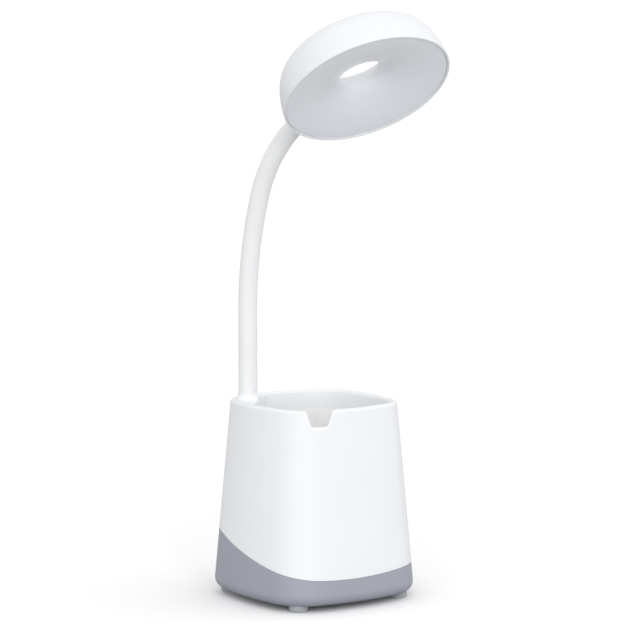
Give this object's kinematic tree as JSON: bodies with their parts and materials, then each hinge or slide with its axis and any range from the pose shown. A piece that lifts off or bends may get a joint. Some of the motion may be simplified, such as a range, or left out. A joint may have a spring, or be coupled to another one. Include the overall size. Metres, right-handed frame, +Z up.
{
  "type": "desk lamp",
  "caption": "Desk lamp with a tapered pen-pot base, a flexible neck at one corner and a domed ring-shaped lamp head.",
  "frame": {"origin": "on the desk surface, under the middle of the pot", "axes": "+Z up, -Y towards the side with no controls, +X to the right; the neck stands at the corner between -X and +Y, the switch panel faces +Y"},
  "size_m": [0.1097, 0.1559, 0.3603],
  "materials": {
    "white_shell": "satin moulded plastic",
    "grey_housing": "satin moulded plastic",
    "white_liner": "satin moulded plastic",
    "foot_rubber": "soft matt rubber",
    "white_sleeve": "smooth silicone",
    "milky_diffuser": "milky translucent, glossy",
    "steel": "plain steel",
    "ballast_steel": "zinc-plated steel plate",
    "cell_wrap": "shrink wrap",
    "black_plastic": "moulded plastic",
    "board_green": "solder mask",
    "board_white": "white solder mask",
    "led_yellow": "phosphor",
    "button_grey": "satin moulded plastic"
  },
  "bodies": {
    "base": {"pot_shell": "white_shell", "cup_liner": "white_liner", "lower_housing": "grey_housing", "housing_screws": "steel", "ballast_plate": "ballast_steel", "battery_cell": "cell_wrap", "battery_cradle": "black_plastic", "main_board": "board_green", "board_screws": "steel", "tact_switch": "black_plastic", "usb_socket": "steel", "neck_stem": "steel", "neck_washer": "steel", "neck_nut": "steel", "foot_1": "foot_rubber", "foot_2": "foot_rubber", "foot_3": "foot_rubber", "foot_4": "foot_rubber", "neck_sleeve_0": "white_sleeve", "neck_core_0": "steel"},
    "button": {"power_button": "button_grey", "switch_plunger": "black_plastic"},
    "neck_link_1": {"neck_sleeve_1": "white_sleeve", "neck_core_1": "steel"},
    "neck_link_2": {"neck_sleeve_2": "white_sleeve", "neck_core_2": "steel"},
    "neck_link_3": {"neck_sleeve_3": "white_sleeve", "neck_core_3": "steel"},
    "neck_link_4": {"neck_sleeve_4": "white_sleeve", "neck_core_4": "steel"},
    "neck_link_5": {"neck_sleeve_5": "white_sleeve", "neck_core_5": "steel"},
    "neck_link_6": {"neck_sleeve_6": "white_sleeve", "neck_core_6": "steel"},
    "neck_link_7": {"neck_sleeve_7": "white_sleeve", "neck_core_7": "steel"},
    "head": {"neck_sleeve_8": "white_sleeve", "neck_core_8": "steel", "head_ferrule": "steel", "neck_clamp": "black_plastic", "clamp_screws": "steel", "head_shell": "white_shell", "diffuser": "milky_diffuser", "led_board": "board_white", "leds": "led_yellow", "led_screws": "steel"}
  },
  "joints": [
    {"name": "button_press", "type": "slide", "parent": "base", "child": "button", "axis": [0, -1, 0], "range_m": [0, 0.0008], "stiffness_N_per_m": 900, "springref_m": -0.0008},
    {"name": "bend_1", "type": "hinge", "parent": "base", "child": "neck_link_1", "pos_m": [-0.02915, 0.02915, 0.1365], "axis": [0.9511, 0.309, 0], "range_deg": [-20, 20]},
    {"name": "sway_1", "type": "hinge", "parent": "neck_link_1", "child": "neck_link_2", "pos_m": [-0.02915, 0.02915, 0.15936], "axis": [-0.309, 0.9511, 0], "range_deg": [-20, 20]},
    {"name": "bend_2", "type": "hinge", "parent": "neck_link_2", "child": "neck_link_3", "pos_m": [-0.02913, 0.02907, 0.18222], "axis": [0.9511, 0.309, 0], "range_deg": [-20, 20]},
    {"name": "sway_2", "type": "hinge", "parent": "neck_link_3", "child": "neck_link_4", "pos_m": [-0.02865, 0.02761, 0.20502], "axis": [-0.3072, 0.9454, 0.1093], "range_deg": [-20, 20]},
    {"name": "bend_3", "type": "hinge", "parent": "neck_link_4", "child": "neck_link_5", "pos_m": [-0.02758, 0.02432, 0.22761], "axis": [0.9511, 0.309, 0], "range_deg": [-20, 20]},
    {"name": "sway_3", "type": "hinge", "parent": "neck_link_5", "child": "neck_link_6", "pos_m": [-0.02592, 0.0192, 0.24981], "axis": [-0.2952, 0.9087, 0.2952], "range_deg": [-20, 20]},
    {"name": "bend_4", "type": "hinge", "parent": "neck_link_6", "child": "neck_link_7", "pos_m": [-0.02299, 0.01018, 0.27054], "axis": [0.9511, 0.309, 0], "range_deg": [-20, 20]},
    {"name": "sway_4", "type": "hinge", "parent": "neck_link_7", "child": "head", "pos_m": [-0.01851, -0.00361, 0.28813], "axis": [-0.211, 0.6494, 0.7306], "range_deg": [-20, 20]}
  ]
}
